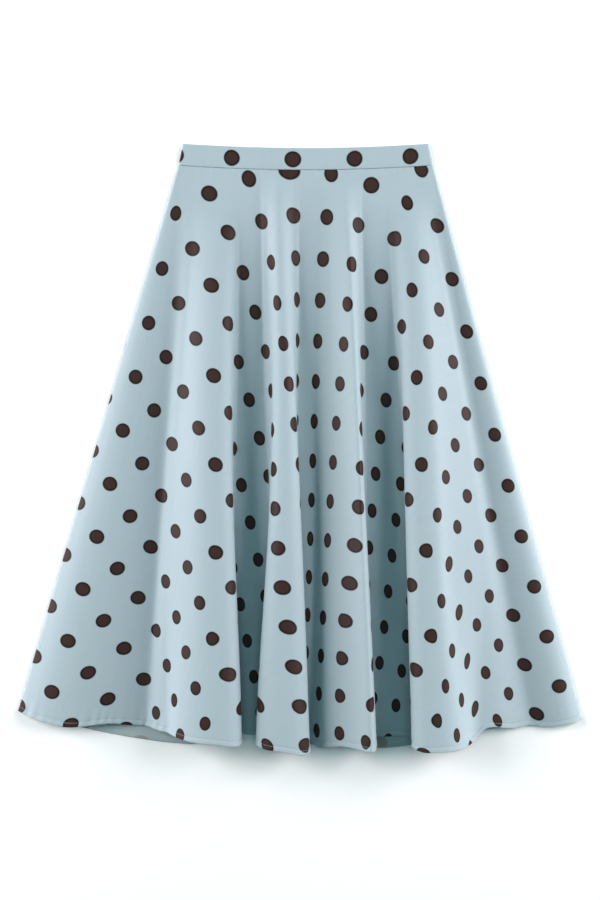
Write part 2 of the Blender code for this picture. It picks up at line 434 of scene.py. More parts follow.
def add_node(
    material: Material,
    kind: str,
    settings: dict[str, object] | None = None,
    links: dict[str | int, object] | None = None,
) -> Node:
    """Add a node to a material.

    Args:
        material: The material.
        kind: Blender's name for the node's type.
        settings: Properties of the node by name, or inputs by number or name in
            square brackets, such as "[Scale]".
        links: Output sockets or plain values by input name or number.

    Returns:
        The new node.
    """
    node = material.node_tree.nodes.new(kind)
    for name, value in (settings or {}).items():
        if name.startswith("["):
            node.inputs[name[1:-1]].default_value = value
        else:
            setattr(node, name, value)
    for key, source in (links or {}).items():
        if isinstance(source, Socket):
            material.node_tree.links.new(source, node.inputs[key])
        else:
            node.inputs[key].default_value = source
    return node


def new_material(name: str, constants: dict[str, object]) -> tuple[Material, Node]:
    """A new material and its Principled shader, with the constants on its inputs.

    Args:
        name: The material's name.
        constants: Plain values by the name of their input.

    Returns:
        The material and its shader.
    """
    material = bpy.data.materials.new(name)
    material.use_nodes = True
    shader = material.node_tree.nodes["Principled BSDF"]
    for key, value in constants.items():
        shader.inputs[key].default_value = value
    return material, shader


@dataclass(frozen=True)
class DottedSatin:
    """Satin-faced cotton with a dotted print, woven from fine combed yarn.

    Long floats of the warp lie on the face, so it has a soft broad sheen and no
    sparkle, and slopes catch more light than flats. The reverse is duller and paler,
    and the print shows through it faintly.
    """

    ground: str = "#a0b3b8"
    ground_shade: str = "#99adb3"
    dot: str = "#35241f"
    dot_rim: str = "#1b1413"
    reverse_ground: str = "#9caeb0"
    reverse_dot: str = "#93948c"
    repeat_across: float = 72.9
    repeat_along: float = 76.1
    first_across: float = 73.7
    first_along: float = 693.1
    dot_width: float = 20.2
    rim_width: float = 1.6
    rim_fade: float = 2.2
    edge_blur: float = 0.7
    # Threads of such a cloth are about 0.25 mm apart, and are drawn coarser to show
    thread_spacing: float = 0.8
    slub_spacing: float = 5.0
    slub_stretch: float = 0.12
    # The warp stands a share of the weft's height, and the whole relief is in mm
    warp_height: float = 0.6
    weave_height: float = 0.05

    def build(self, side: Side) -> Material:
        """The material for one side of the cloth.

        Args:
            side: The side that the finish is for.

        Returns:
            The material.
        """
        face = side is Side.FACE
        material, shader = new_material(
            f"dotted satin {side.value}",
            {
                "Roughness": 0.52 if face else 0.7, "Specular IOR Level": 0.12,
                "Sheen Weight": 0.05, "Sheen Roughness": 0.45,
            },
        )
        place = add_node(material, "ShaderNodeAttribute", {"attribute_name": "print"})
        vector = place.outputs["Vector"]
        away = self._from_dot(material, vector)
        radius = self.dot_width / 2.0
        # Soft steps at the dot's edge and where its darker rim ends
        inside, core = (
            add_node(
                material, "ShaderNodeMapRange", {"interpolation_type": "SMOOTHSTEP"},
                {"Value": away, "From Min": start, "From Max": end},
            ).outputs["Result"]
            for start, end in (
                (radius + self.edge_blur, radius - self.edge_blur),
                (radius - self.rim_width, radius - self.rim_fade * self.rim_width),
            )
        )
        ground = linear(self.ground if face else self.reverse_ground)
        shade = linear(self.ground_shade if face else self.reverse_ground)
        rim = linear(self.dot_rim if face else self.reverse_dot)
        dot = linear(self.dot if face else self.reverse_dot)
        cloth, ink = (
            add_node(
                material, "ShaderNodeMix", {"data_type": "RGBA"}, {0: share, 6: first, 7: second}
            ).outputs[2]
            for share, first, second in (
                (self._slubs(material, vector), ground, shade), (core, rim, dot),
            )
        )
        colour = add_node(
            material, "ShaderNodeMix", {"data_type": "RGBA"}, {0: inside, 6: cloth, 7: ink}
        ).outputs[2]
        tree = material.node_tree
        tree.links.new(colour, shader.inputs["Base Color"])
        tree.links.new(self._weave(material, vector), shader.inputs["Normal"])
        return material

    def _from_dot(self, material: Material, vector: Socket) -> Socket:
        """Distance in mm from the middle of the nearest dot.

        The dots stand in rows with every second row moved by half a repeat, so two
        slanting counts find the nearest one.

        Args:
            material: The material that the nodes go into.
            vector: Place in the cut, in mm.

        Returns:
            The distance.
        """
        start = (self.first_across, self.first_along, 0.0)
        moved = add_node(
            material, "ShaderNodeVectorMath", {"operation": "SUBTRACT"}, {0: vector, 1: start}
        ).outputs[0]
        rests = []
        for sign in (-1.0, 1.0):
            slant = (1.0 / self.repeat_across, sign / self.repeat_along, 0.0)
            rest = add_node(
                material, "ShaderNodeVectorMath", {"operation": "DOT_PRODUCT"}, {0: moved, 1: slant}
            ).outputs["Value"]
            for operation, value in (("ADD", 0.5), ("FLOORED_MODULO", 1.0), ("SUBTRACT", 0.5)):
                rest = add_node(
                    material, "ShaderNodeMath", {"operation": operation}, {0: rest, 1: value}
                ).outputs[0]
            rests.append(rest)
        down, up = rests
        both, apart = (
            add_node(material, "ShaderNodeMath", {"operation": operation}, {0: up, 1: down}).outputs[0]
            for operation in ("ADD", "SUBTRACT")
        )
        flat = add_node(material, "ShaderNodeCombineXYZ", {}, {0: both, 1: apart}).outputs[0]
        half = (self.repeat_across / 2, self.repeat_along / 2, 0.0)
        sized = add_node(
            material, "ShaderNodeVectorMath", {"operation": "MULTIPLY"}, {0: flat, 1: half}
        ).outputs[0]
        return add_node(
            material, "ShaderNodeVectorMath", {"operation": "LENGTH"}, {0: sized}
        ).outputs["Value"]

    def _slubs(self, material: Material, vector: Socket) -> Socket:
        """Faint streaks of thicker yarn along both threads.

        Args:
            material: The material that the nodes go into.
            vector: Place in the cut, in mm.

        Returns:
            How strong the streaks are, from 0 to 1.
        """
        stretch = (1.0 / self.slub_spacing, self.slub_stretch / self.slub_spacing, 1.0)
        scaled = add_node(
            material, "ShaderNodeVectorMath", {"operation": "MULTIPLY"}, {0: vector, 1: stretch}
        )
        return add_node(
            material, "ShaderNodeTexNoise", {},
            {"Vector": scaled.outputs[0], "Scale": 1.0, "Detail": 2.0, "Roughness": 0.6},
        ).outputs["Fac"]

    def _weave(self, material: Material, vector: Socket) -> Socket:
        """Bump of the warp and the weft.

        Args:
            material: The material that the nodes go into.
            vector: Place in the cut, in mm.

        Returns:
            The normal with the threads in it.
        """
        # A wave texture's bands repeat each pi / 10 units at scale 1
        scale = math.pi / 10.0 / self.thread_spacing
        warp, weft = (
            add_node(
                material, "ShaderNodeTexWave",
                {"wave_type": "BANDS", "bands_direction": direction},
                {"Vector": vector, "Scale": scale},
            ).outputs["Fac"]
            for direction in ("X", "Y")
        )
        cloth = add_node(
            material, "ShaderNodeMath", {"operation": "MULTIPLY_ADD"},
            {0: warp, 1: self.warp_height, 2: weft},
        )
        bump = add_node(
            material, "ShaderNodeBump", {"[Strength]": 0.10, "[Distance]": self.weave_height * MM},
            {"Height": cloth.outputs[0]},
        )
        return bump.outputs["Normal"]


@dataclass(frozen=True)
class CoreSpunThread:
    """Polyester sewing thread, dyed to the ground, twisted and slightly glossy."""

    colour: str = "#a3b8c1"
    shade: str = "#8fa6b0"
    # The noise lies over the whole row of 743 mm, so 900 is a grain each 0.83 mm,
    # which is about one turn of the thread's twist
    twist_scale: float = 900.0

    def build(self) -> Material:
        """Make the finish.

        Returns:
            The material.
        """
        constants = {"Roughness": 0.6, "Sheen Weight": 0.2}
        material, shader = new_material("sewing thread", constants)
        noise = add_node(material, "ShaderNodeTexNoise", {}, {"Scale": self.twist_scale, "Detail": 1.0})
        mix = add_node(
            material, "ShaderNodeMix", {"data_type": "RGBA"},
            {0: noise.outputs["Fac"], 6: linear(self.colour), 7: linear(self.shade)},
        )
        material.node_tree.links.new(mix.outputs[2], shader.inputs["Base Color"])
        return material


@dataclass(frozen=True)
class NylonCoil:
    """Nylon zip coil, extruded and dyed to match: a soft plastic gloss on round teeth."""

    colour: str = "#a8bec8"
    # The noise lies over the coil's 180 mm, so 400 is a duller spot each 0.45 mm
    spot_scale: float = 400.0
    glossy: float = 0.35
    dull: float = 0.5

    def build(self) -> Material:
        """Make the finish.

        Returns:
            The material.
        """
        constants = {"Base Color": linear(self.colour), "IOR": 1.53}
        material, shader = new_material("nylon coil", constants)
        noise = add_node(material, "ShaderNodeTexNoise", {}, {"Scale": self.spot_scale})
        roughness = add_node(
            material, "ShaderNodeMapRange", {},
            {"Value": noise.outputs["Fac"], "To Min": self.glossy, "To Max": self.dull},
        )
        material.node_tree.links.new(roughness.outputs["Result"], shader.inputs["Roughness"])
        return material


@dataclass(frozen=True)
class EnamelledZinc:
    """Die-cast zinc slider under stoved enamel: smooth, with a slight orange peel."""

    colour: str = "#a4bac4"
    # The noise lies over the slider's 25 mm, so 700 is a pit each 0.04 mm
    peel_scale: float = 700.0
    peel_depth: float = 0.05

    def build(self) -> Material:
        """Make the finish.

        Returns:
            The material.
        """
        constants = {"Base Color": linear(self.colour), "Roughness": 0.3, "Coat Weight": 0.4}
        material, shader = new_material("enamelled zinc", constants)
        peel = add_node(material, "ShaderNodeTexNoise", {}, {"Scale": self.peel_scale, "Detail": 2.0})
        bump = add_node(
            material, "ShaderNodeBump", {"[Strength]": 0.2, "[Distance]": self.peel_depth * MM},
            {"Height": peel.outputs["Fac"]},
        )
        material.node_tree.links.new(bump.outputs["Normal"], shader.inputs["Normal"])
        return material


@dataclass(frozen=True)
class WhiteLaminate:
    """Matt white laminate of the table top, a little cool against the warm lights."""

    colour: str = "#f7fdfb"

    def build(self) -> Material:
        """Make the finish.

        Returns:
            The material.
        """
        constants = {
            "Base Color": linear(self.colour), "Roughness": 0.8, "Specular IOR Level": 0.1,
        }
        return new_material("white laminate", constants)[0]


@dataclass
class Wardrobe:
    """The finishes, each made once."""

    cloth: DottedSatin = field(default_factory=DottedSatin)
    made: dict[str, Material] = field(default_factory=dict)

    def get(self, name: str, maker: Callable[[], Material]) -> Material:
        """A finish by name, made the first time that it is asked for.

        Args:
            name: The finish's name in this wardrobe.
            maker: Makes the finish.

        Returns:
            The material.
        """
        if name not in self.made:
            self.made[name] = maker()
        return self.made[name]

    def face(self) -> Material:
        """The cloth's printed face."""
        return self.get("face", lambda: self.cloth.build(Side.FACE))

    def reverse(self) -> Material:
        """The cloth's reverse."""
        return self.get("reverse", lambda: self.cloth.build(Side.REVERSE))


def normals_of(points: Grid) -> Grid:
    """Unit normals of a grid of points, pointing up where the cloth lies flat.

    Args:
        points: Rows of points, from the waist to the hem.

    Returns:
        The normal at each point.
    """
    along = np.gradient(points, axis=1)
    down = np.gradient(points, axis=0)
    normal = np.cross(down, along)
    normal /= np.maximum(np.linalg.norm(normal, axis=2, keepdims=True), 1e-9)
    return normal


def add_object(name: str, data: bpy.types.ID) -> Piece:
    """A new object in the scene for a mesh, a light or a camera.

    Args:
        name: The object's name.
        data: What it holds.

    Returns:
        The object.
    """
    thing = bpy.data.objects.new(name, data)
    bpy.context.scene.collection.objects.link(thing)
    return thing


def run_along(points: np.ndarray) -> np.ndarray:
    """Distance along lines of points, from the first point of each."""
    steps = np.linalg.norm(np.diff(points, axis=-2), axis=-1)
    return np.concatenate([np.zeros_like(steps[..., :1]), np.cumsum(steps, axis=-1)], axis=-1)


def add_piece(name: str, points: np.ndarray, faces: Faces, *finishes: Material) -> Piece:
    """A new mesh object.

    Args:
        name: The piece's name.
        points: Its points in mm, measured from the layout's own origin.
        faces: Point numbers of each face.
        finishes: Its materials, in the order of their slots.

    Returns:
        The object, smoothly shaded.
    """
    mesh = bpy.data.meshes.new(name)
    placed = (points.reshape(-1, 3) - Layout().middle()) * MM
    mesh.from_pydata(placed.tolist(), [], faces)
    mesh.shade_smooth()
    for finish in finishes:
        mesh.materials.append(finish)
    return add_object(name, mesh)


def set_print(piece: Piece, across: np.ndarray, along: np.ndarray) -> None:
    """Store each point's place in the cut, which the print follows.

    Args:
        piece: The piece.
        across: Each point's place across the cut, in mm.
        along: Each point's place along the cut, in mm.
    """
    layer = piece.data.attributes.new("print", "FLOAT_VECTOR", "POINT")
    values = np.zeros((across.size, 3), np.float32)
    values[:, 0] = across.reshape(-1)
    values[:, 1] = along.reshape(-1)
    layer.data.foreach_set("vector", values.reshape(-1))


def grid_faces(rows: int, columns: int) -> Faces:
    """Faces of a grid whose rows run down the cloth, seen from its face.

    Args:
        rows: Number of rows.
        columns: Points in each row.

    Returns:
        Point numbers of each face.
    """
    faces = []
    for row in range(rows - 1):
        for column in range(columns - 1):
            corner = row * columns + column
            faces.append((corner, corner + columns, corner + columns + 1, corner + 1))
    return faces


def ring_turns(sides: int) -> list[float]:
    """Angles of the points round a ring."""
    return [2.0 * math.pi * side / sides for side in range(sides)]


def tube_faces(first: int, rings: int, sides: int) -> Faces:
    """Faces of a tube of rings of points, closed at both ends.

    Args:
        first: Number of the tube's first point.
        rings: Number of rings.
        sides: Points in each ring.

    Returns:
        Point numbers of each face.
    """
    faces = []
    for ring in range(rings - 1):
        for side in range(sides):
            a = first + ring * sides + side
            b = first + ring * sides + (side + 1) % sides
            faces.append((a, b, b + sides, a + sides))
    last = first + (rings - 1) * sides
    faces.append(tuple(range(first, first + sides))[::-1])
    faces.append(tuple(range(last, last + sides)))
    return faces


def add_cloth(
    name: str, points: Grid, across: Grid, along: Grid, thickness: float, wardrobe: Wardrobe,
    face_down: bool = False,
) -> Piece:
    """A cloth wall round a grid of points, face and reverse with their own finish.

    Args:
        name: The piece's name.
        points: Rows of points on the middle of the wall, in mm.
        across: Each point's place across the cut, in mm.
        along: Each point's place along the cut, in mm.
        thickness: Thickness of the wall, in mm.
        wardrobe: Holds the finishes.
        face_down: Whether the printed face looks down.

    Returns:
        The object, with its wall as a modifier.
    """
    rows, columns = points.shape[:2]
    faces = grid_faces(rows, columns)
    if face_down:
        faces = [face[::-1] for face in faces]
    piece = add_piece(name, points, faces, wardrobe.face(), wardrobe.reverse())
    set_print(piece, across, along)
    wall = piece.modifiers.new("Wall", "SOLIDIFY")
    wall.thickness = thickness * MM
    wall.offset = 0.0
    wall.use_even_offset = True
    wall.material_offset = 1
    return piece


@dataclass
class FrontPanel:
    """The front: a quarter circle with its spare width in four standing flutes."""

    layout: Layout
    cut: Cut
    wardrobe: Wardrobe
    wall: float = 0.7
    level: float = 2.1
    flute_drop: float = 12.0
    growth: float = 0.58
    edge_growth: float = 0.75
    toe_growth: float = 1.3
    left_swell: float = 19.0
    right_swell: float = 10.0
    wing_form: tuple[tuple[float, float], ...] = (
        (0.0, 0.0), (0.14, 0.75), (0.36, 1.0), (0.66, 0.62), (0.92, 0.12),
    )
    waist_top: float = 0.42
    shoulder_slope: float = 0.7
    toe_run: float = 7.0
    fade_from: float = 0.68
    # The two points above a toe: shares of the way to the low side, and of the height
    tucked_foot: tuple[tuple[float, float], ...] = ((0.0, 0.14), (0.3, 0.20))
    open_foot: tuple[tuple[float, float], ...] = ((0.4, 0.19), (0.7, 0.27))
    low_side: float = 0.36
    high_side: float = 0.74
    crest: float = 1.05
    wing_steps: int = 18
    flute_steps: int = 5
    row_count: int = 96
    waist_rows: tuple[float, ...] = (0.0, 1.5, 3.0, 5.0, 7.5, 10.5, 14.0, 18.0, 23.0)
    hem_rows: tuple[float, ...] = (13.0, 10.0, 8.0, 7.0, 6.4, 5.8, 5.2, 4.0, 2.5, 1.0, 0.0)
    fold_height: float = 0.35
    ditch_depth: float = 0.3
    ditch_width: float = 1.1
    roll_depth: float = 1.1
    roll_width: float = 2.6
    surface: Grid = field(init=False)

    def rows(self) -> np.ndarray:
        """Shares of the way down, closer together beside both seams.

        Returns:
            Shares from 0 at the waist to 1 at the hem.
        """
        length = self.layout.panel_length
        waist = np.array(self.waist_rows)
        hem = length - np.array(self.hem_rows)
        middle = np.linspace(waist[-1], hem[0], self.row_count)[1:-1]
        return np.concatenate([waist, middle, hem]) / length

    def places(self, spans: int) -> np.ndarray:
        """Places along the control points, closer together on the wings.

        Args:
            spans: Number of spans between the control points.

        Returns:
            The places, counted in spans.
        """
        wing = len(self.wing_form)
        parts = []
        for span in range(spans):
            on_wing = span < wing or span >= spans - wing
            steps = self.wing_steps if on_wing else self.flute_steps
            parts.append(span + np.arange(steps) / steps)
        return np.concatenate([*parts, [float(spans)]])

    def toe_x(self, at_waist: float, at_hem: float, down: float, tucked: bool) -> float:
        """X of a toe. A tucked one stays behind at first, as the cloth folds under."""
        return lerp(at_waist, at_hem, down**self.toe_growth if tucked else down)

    def flank(
        self, toe: float, edge: float, lean: float, top_x: float, top: float, rounding: float,
        tucked: bool,
    ) -> Outline:
        """Control points (x, height) of one side of a flute, from its toe up.

        Args:
            toe: X of the toe.
            edge: X of the flute's edge above the toe.
            lean: How far the low side stands out past the edge, in x.
            top_x: X of the end of the top on this side.
            top: Height of the flute.
            rounding: How much of the side is a plain ramp from its toe to the top.
            tucked: Whether the toe is tucked under the edge.

        Returns:
            Four points.
        """
        low = edge + lean
        foot = self.tucked_foot if tucked else self.open_foot
        points = [(lerp(toe, low, share), up * top) for share, up in foot]
        points.append((low, self.low_side * top))
        points.append((edge - self.shoulder_slope * lean, self.high_side * top))
        crest = self.crest * top
        return [(lerp(x, lerp(toe, top_x, z / crest), rounding), z) for x, z in points]

    def flute_points(self, flute: Flute, down: float) -> Outline:
        """Control points (x, height) over one flute, from left to right.

        Args:
            flute: The flute.
            down: Share of the way from the waist to the hem.

        Returns:
            The points, in mm.
        """
        left_tucked = flute.hem_left_toe > flute.hem_left_edge
        right_tucked = flute.hem_right_toe < flute.hem_right_edge
        left_toe = self.toe_x(flute.waist_left_toe, flute.hem_left_toe, down, left_tucked)
        right_toe = self.toe_x(flute.waist_right_toe, flute.hem_right_toe, down, right_tucked)
        spread = down**self.edge_growth
        # 1 half way down and 0 at both ends
        bent = 16.0 * (down * (1.0 - down)) ** 2
        left = lerp(flute.waist_left_edge, flute.hem_left_edge, spread) + bent * flute.left_bend
        right = lerp(flute.waist_right_edge, flute.hem_right_edge, spread) + bent * flute.right_bend
        risen = max((down - flute.start) / (1.0 - flute.start), 0.0) ** self.growth
        top = max(flute.height * risen, 0.01)
        rounding = (1.0 - down) ** 3
        top_left = left + lerp(flute.top_left, self.waist_top, rounding) * (right - left)
        top_right = left + lerp(flute.top_right, 1.0 - self.waist_top, rounding) * (right - left)
        fading = smooth((down - self.fade_from) / (1.0 - self.fade_from))
        sloped = down * lerp(1.0, flute.hem_slope, fading)
        return [
            (left_toe - self.toe_run, 0.0),
            (left_toe, 0.0),
            *self.flank(
                left_toe, left, -flute.left_slope * sloped, top_left, top, rounding, left_tucked
            ),
            (top_left, self.crest * top),
            (top_right, self.crest * top),
            *self.flank(
                right_toe, right, flute.right_slope * sloped, top_right, top, rounding, right_tucked
            )[::-1],
            (right_toe, 0.0),
            (right_toe + self.toe_run, 0.0),
        ]

    def wing_points(self, seam: float, toe: float, swell: float) -> Outline:
        """Control points from a side seam to the first toe, a low swell between."""
        return [(lerp(seam, toe, across), up * swell) for across, up in self.wing_form]

    def section_points(self, down: float) -> np.ndarray:
        """Control points (x, height) right across the panel at one row.

        Args:
            down: Share of the way from the waist to the hem.

        Returns:
            The points, in mm.
        """
        flutes = [self.flute_points(flute, down) for flute in FLUTES]
        left, right = self.layout.seams(down)
        points = self.wing_points(left, flutes[0][0][0], self.left_swell * down)
        for index, flute in enumerate(flutes):
            if index:
                points.append(((flutes[index - 1][-1][0] + flute[0][0]) / 2, 0.0))
            points += flute
        points += self.wing_points(right, flutes[-1][-1][0], self.right_swell * down)[::-1]
        return np.array(points)

    def spline(self, points: np.ndarray, places: np.ndarray) -> np.ndarray:
        """A uniform cubic B-spline along control points, with its ends kept.

        Args:
            points: The control points.
            places: Places along them, counted in spans.

        Returns:
            A point of the curve at each place.
        """
        held = np.vstack([2 * points[0] - points[1], points, 2 * points[-1] - points[-2]])
        span = np.minimum(places.astype(int), len(points) - 2)
        u = (places - span)[:, None]
        weights = (
            (1 - u) ** 3 / 6,
            (3 * u**3 - 6 * u**2 + 4) / 6,
            (-3 * u**3 + 3 * u**2 + 3 * u + 1) / 6,
            u**3 / 6,
        )
        return sum(weight * held[span + n] for n, weight in enumerate(weights))

    def row_shift(self, x: np.ndarray, height: np.ndarray, down: float) -> np.ndarray:
        """How far the cloth lies above the flat layout's rows, in y.

        Args:
            x: Places across the row, in mm.
            height: Height of the cloth at each place, in mm.
            down: Share of the way from the waist to the hem.

        Returns:
            The shift at each place, in mm.
        """
        tallest = max(flute.height for flute in FLUTES)
        front, _ = self.layout.drawn_up(x, down)
        return front - self.flute_drop * height / tallest * down * down

    def print_angles(self, down: float, spans: int) -> tuple[np.ndarray, np.ndarray]:
        """Places along the control points and the print's angle there, in radians.

        Args:
            down: Share of the way from the waist to the hem.
            spans: Number of spans between the control points.

        Returns:
            The places, and the angle at each.
        """
        places = [0.0]
        columns = [LEFT_SEAM_PRINT]
        first = len(self.wing_form)
        for index, flute in enumerate(FLUTES):
            places += [first + FLUTE_POINTS * index + place for place in PRINT_PLACES]
            columns += zip(
                flute.print_at_waist, flute.print_at_hip, flute.print_at_knee, flute.print_at_hem
            )
        places.append(float(spans))
        columns.append(RIGHT_SEAM_PRINT)
        angles = [np.polyval(np.polyfit(PRINT_ROWS, column, 3), down) for column in columns]
        return np.array(places), np.radians(angles)

    def base(self) -> tuple[Grid, Grid, Grid]:
        """The panel's plain surface.

        Returns:
            Points on the middle of the wall, and the angle and radius in the cut.
        """
        points, angles, radii = [], [], []
        for down in self.rows():
            control = self.section_points(down)
            places = self.places(len(control) - 1)
            x, height = self.spline(control, places).T
            y = self.layout.row_y(x, down) + self.row_shift(x, height, down)
            points.append(np.stack([x, y, self.level + height], axis=1))
            run = run_along(np.stack([x, height], axis=1))
            marks, turned = self.print_angles(down, len(control) - 1)
            angle = np.interp(run, np.interp(marks, places, run), turned)
            angles.append(angle)
            radii.append(self.cut.radius(angle, np.full_like(angle, down)))
        return np.array(points), np.array(angles), np.array(radii)

    def relief(self, points: Grid) -> np.ndarray:
        """Height of the sewn detail over the plain surface, in mm.

        Args:
            points: The plain surface.

        Returns:
            The height at each point.
        """
        length = self.layout.panel_length
        below = (self.rows() * length)[:, None]
        above = length - below
        run = run_along(points)
        fold = self.fold_height * hem_step(above)
        ditch = -self.ditch_depth * hill(above, HEM_FOLD + 0.2, self.ditch_width)
        height, length, seed, reach = FRONT_HEM_PUCKER
        hem = height * ripple(run, length, seed) * hill(above, HEM_MIDDLE, reach)
        waist = sum(
            height * ripple(points[:, :, 0], length, seed) * np.exp(-below / reach)
            for height, length, seed, reach in (WAIST_PUCKER, WAIST_DRAG)
        )
        return fold + ditch + hem + waist

    def roll_edges(self, points: Grid) -> None:
        """Turn the outermost cloth down to the back's edge at both side seams.

        Args:
            points: The dressed surface, which is changed.
        """
        for side in (0, -1):
            away = np.abs(points[:, :, 0] - points[:, side : side + 1 or None, 0])
            points[:, :, 2] -= self.roll_depth * np.clip(1.0 - away / self.roll_width, 0.0, 1.0) ** 2

    def build(self) -> Piece:
        """The dressed front panel.

        Returns:
            The piece.
        """
        for flute in FLUTES:
            LOG.info("%s flute: %.0f mm high at the hem", flute.name, flute.height)
        points, angles, radii = self.base()
        points = points + normals_of(points) * self.relief(points)[:, :, None]
        self.roll_edges(points)
        across = radii * np.sin(angles)
        along = radii * np.cos(angles)
        self.surface = points
        return add_cloth("front_cloth", points, across, along, self.wall, self.wardrobe)


@dataclass
class BackPanel:
    """The back: flat, its spare width pressed into folds between the layers."""

    layout: Layout
    cut: Cut
    wardrobe: Wardrobe
    wall: float = 0.7
    columns: int = 90
    fold_lines: tuple[float, ...] = (0.27, 0.5, 0.73)
    fold_run: float = 0.0004
    hidden_angle: float = 52.0
    edge_inset: float = 0.9
    fold_height: float = 0.25

    def rows(self) -> np.ndarray:
        """Shares of the way down, with two close rows where the zip ends.

        Returns:
            Shares from 0 at the waist to 1 at the hem.
        """
        length = self.layout.panel_length
        end = self.layout.zip_length
        beside = np.linspace(0.0, end, 12)
        below = np.linspace(end + 1.0, length - 12.0, 46)
        hem = length - np.array([9.0, 7.0, 6.2, 5.6, 4.5, 3.0, 1.2, 0.0])
        return np.concatenate([beside, below, hem]) / length

    def shares(self) -> np.ndarray:
        """Shares of the width, with two close columns at each pressed fold.

        Returns:
            Shares from 0 at the left to 1 at the right.
        """
        plain = np.linspace(0.0, 1.0, self.columns)
        folds = [line + side * self.fold_run for line in self.fold_lines for side in (-1, 1)]
        clear = 10.0 * self.fold_run
        kept = [n for n in plain if min(abs(n - line) for line in self.fold_lines) > clear]
        return np.sort(np.array([*kept, *folds]))

    def build(self) -> Piece:
        """The dressed back panel, its face down.

        Returns:
            The piece.
        """
        shares = self.shares()
        rows = self.rows()
        length = self.layout.panel_length
        visible = math.radians(90.0 - self.hidden_angle)
        jump = math.radians(self.hidden_angle) / len(self.fold_lines)
        height, wave, seed, reach = BACK_HEM_PUCKER
        points, angles = [], []
        for down in rows:
            left, right = self.layout.seams(down)
            beside_zip = down * length <= self.layout.zip_length
            inset = self.layout.zip_lap if beside_zip else self.edge_inset
            x = lerp(left + self.edge_inset, right - inset, shares)
            above = (1.0 - down) * length
            z = np.full_like(x, self.wall / 2 + self.fold_height * hem_step(above))
            z += height * hill(above, HEM_MIDDLE, reach) * (1.0 + ripple(x, wave, seed))
            _, raised = self.layout.drawn_up(x, down)
            points.append(np.stack([x, self.layout.row_y(x, down) + raised, z], axis=1))
            folded = sum((shares > line).astype(float) for line in self.fold_lines)
            angles.append(shares * visible + folded * jump)
        angle = np.array(angles)
        radius = self.cut.radius(angle, rows[:, None])
        return add_cloth(
            "back_cloth", np.array(points), -radius * np.sin(angle), radius * np.cos(angle),
            self.wall, self.wardrobe, face_down=True,
        )


@dataclass
class Waistband:
    """One half of the waistband: a strip folded lengthwise over a stiffener."""

    layout: Layout
    wardrobe: Wardrobe
    name: str
    bottom: float
    right_inset: float
    face_up: bool
    thickness: float = 1.6
    columns: int = 150
    # Dots along the front half, from the left end to the right, as x in mm
    dot_row: tuple[float, ...] = (-161.5, -89.1, -8.1, 73.8, 146.4)
    dot_height: float = 13.4
    dot_spacing: float = 81.0
    roll_depth: float = 0.7
    roll_width: float = 2.2
    wave_height: float = 0.12
    wave_length: float = 31.0
    wave_seed: float = 0.9

    def section(self) -> Outline:
        """The ring (share of the height, share of the thickness) of one cross-section.

        Returns:
            The ring's points in order, from its seam up the face.
        """
        ring = [(0.0, 0.45), (0.012, 0.62), (0.04, 0.74), (0.12, 0.86)]
        ring += [(share, 1.0) for share in np.linspace(0.25, 0.93, 8)]
        for step in range(1, 8):
            turn = math.pi * step / 8.0
            ring.append((0.965 + 0.035 * math.sin(turn), 0.5 + 0.5 * math.cos(turn)))
        ring += [(share, 0.0) for share in np.linspace(0.93, 0.02, 10)]
        ring.append((0.0, 0.12))
        return ring

    def build(self) -> Piece:
        """The dressed half.

        Returns:
            The piece.
        """
        layout = self.layout
        cloth = self.wardrobe.cloth
        ring = self.section()
        points, across, along = [], [], []
        for share in np.arange(self.columns + 1) / self.columns:
            for up, out in ring:
                start, end = layout.band_ends(up)
                end -= self.right_inset
                x = lerp(start, end, share)
                y = layout.waist_y(x) + layout.seam_gap + up * layout.band_height
                wave = self.wave_height * ripple(x, self.wave_length, self.wave_seed)
                wave *= math.sin(math.pi * min(up, 1.0))
                near = 1.0 - min(x - start, end - x) / self.roll_width
                roll = self.roll_depth * max(0.0, near) ** 2 if self.face_up else 0.0
                points.append((x, y, self.bottom + out * self.thickness * (1.0 + wave) - roll))
                spot = np.interp(x, self.dot_row, range(len(self.dot_row)))
                spot += max(0.0, x - self.dot_row[-1]) / self.dot_spacing
                spot -= max(0.0, self.dot_row[0] - x) / self.dot_spacing
                across.append(spot * cloth.repeat_across)
                along.append((up * layout.band_height - self.dot_height) / self.dot_spacing)
        faces = tube_faces(0, self.columns + 1, len(ring))
        piece = add_piece(self.name, np.array(points), faces, self.wardrobe.face())
        set_print(
            piece,
            np.array(across) + cloth.first_across,
            np.array(along) * cloth.repeat_along + cloth.first_along,
        )
        return piece


